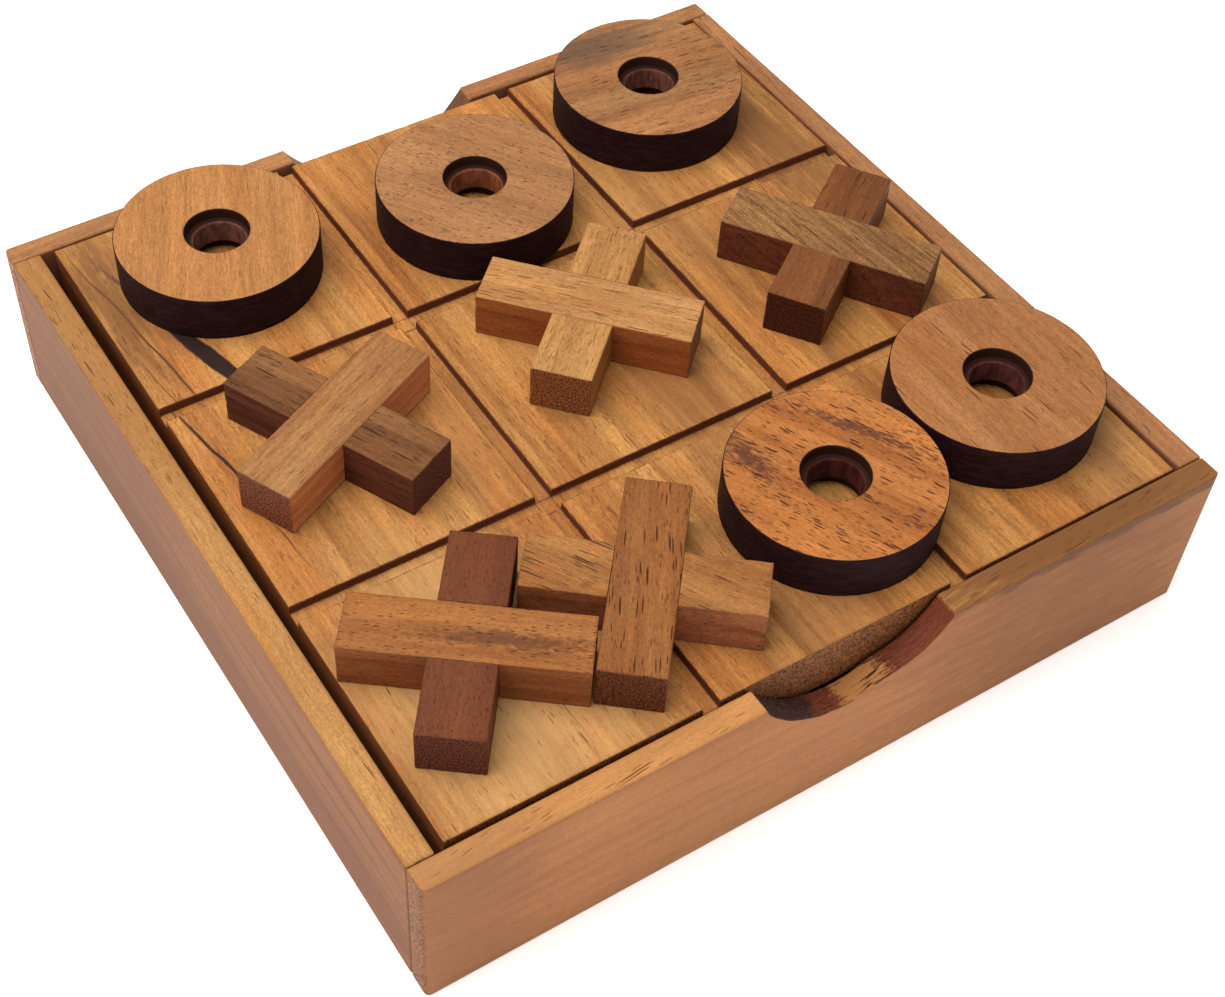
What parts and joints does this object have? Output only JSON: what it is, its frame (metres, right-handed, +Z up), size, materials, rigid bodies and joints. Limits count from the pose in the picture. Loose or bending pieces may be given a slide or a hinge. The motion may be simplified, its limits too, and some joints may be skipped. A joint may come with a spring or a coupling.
{
  "type": "tic tac toe set",
  "caption": "Square wooden box with a lift-out grooved board as its lid, thick rings and half-lapped crosses lying on it, and finger scoops in two walls.",
  "frame": {"origin": "middle of the box's underside", "axes": "+Z up, -Y towards the front wall, +X to the right along the front wall"},
  "size_m": [0.1408, 0.1404, 0.0373],
  "materials": {
    "front_wall": "oiled, lengthwise grain, scorched scoop",
    "back_wall": "oiled, lengthwise grain, scorched scoop",
    "left_wall": "oiled, open grain",
    "right_wall": "oiled, open grain",
    "base_panel": "bare, smooth",
    "ledge_left": "bare, smooth",
    "ledge_right": "bare, smooth",
    "game_board": "oiled, open grain",
    "ring_1": "oiled, side scorched dark",
    "ring_2": "oiled, side scorched dark",
    "ring_3": "oiled, side scorched dark",
    "ring_4": "oiled, side scorched dark",
    "ring_5": "oiled, side scorched dark",
    "cross_1_over": "oiled, open grain",
    "cross_1_under": "oiled, open grain",
    "cross_2_over": "oiled, open grain",
    "cross_2_under": "oiled, open grain",
    "cross_3_over": "oiled, open grain",
    "cross_3_under": "oiled, open grain",
    "cross_4_over": "oiled, open grain",
    "cross_4_under": "oiled, open grain",
    "cross_5_over": "oiled, open grain",
    "cross_5_under": "oiled, open grain"
  },
  "bodies": {
    "box": {"front_wall": "front_wall", "back_wall": "back_wall", "left_wall": "left_wall", "right_wall": "right_wall", "base_panel": "base_panel", "ledge_left": "ledge_left", "ledge_right": "ledge_right"},
    "board": {"game_board": "game_board"},
    "ring_1": {"ring_1": "ring_1"},
    "ring_2": {"ring_2": "ring_2"},
    "ring_3": {"ring_3": "ring_3"},
    "ring_4": {"ring_4": "ring_4"},
    "ring_5": {"ring_5": "ring_5"},
    "cross_1": {"cross_1_over": "cross_1_over", "cross_1_under": "cross_1_under"},
    "cross_2": {"cross_2_over": "cross_2_over", "cross_2_under": "cross_2_under"},
    "cross_3": {"cross_3_over": "cross_3_over", "cross_3_under": "cross_3_under"},
    "cross_4": {"cross_4_over": "cross_4_over", "cross_4_under": "cross_4_under"},
    "cross_5": {"cross_5_over": "cross_5_over", "cross_5_under": "cross_5_under"}
  },
  "joints": [
    {"name": "board_lift", "type": "slide", "parent": "box", "child": "board", "axis": [0, 0, 1], "range_m": [0, 0.06]},
    {"name": "ring_1_lift", "type": "slide", "parent": "board", "child": "ring_1", "axis": [0, 0, 1], "range_m": [0, 0.04]},
    {"name": "ring_2_lift", "type": "slide", "parent": "board", "child": "ring_2", "axis": [0, 0, 1], "range_m": [0, 0.04]},
    {"name": "ring_3_lift", "type": "slide", "parent": "board", "child": "ring_3", "axis": [0, 0, 1], "range_m": [0, 0.04]},
    {"name": "ring_4_lift", "type": "slide", "parent": "board", "child": "ring_4", "axis": [0, 0, 1], "range_m": [0, 0.04]},
    {"name": "ring_5_lift", "type": "slide", "parent": "board", "child": "ring_5", "axis": [0, 0, 1], "range_m": [0, 0.04]},
    {"name": "cross_1_lift", "type": "slide", "parent": "board", "child": "cross_1", "axis": [0, 0, 1], "range_m": [0, 0.04]},
    {"name": "cross_2_lift", "type": "slide", "parent": "board", "child": "cross_2", "axis": [0, 0, 1], "range_m": [0, 0.04]},
    {"name": "cross_3_lift", "type": "slide", "parent": "board", "child": "cross_3", "axis": [0, 0, 1], "range_m": [0, 0.04]},
    {"name": "cross_4_lift", "type": "slide", "parent": "board", "child": "cross_4", "axis": [0, 0, 1], "range_m": [0, 0.04]},
    {"name": "cross_5_lift", "type": "slide", "parent": "board", "child": "cross_5", "axis": [0, 0, 1], "range_m": [0, 0.04]}
  ]
}
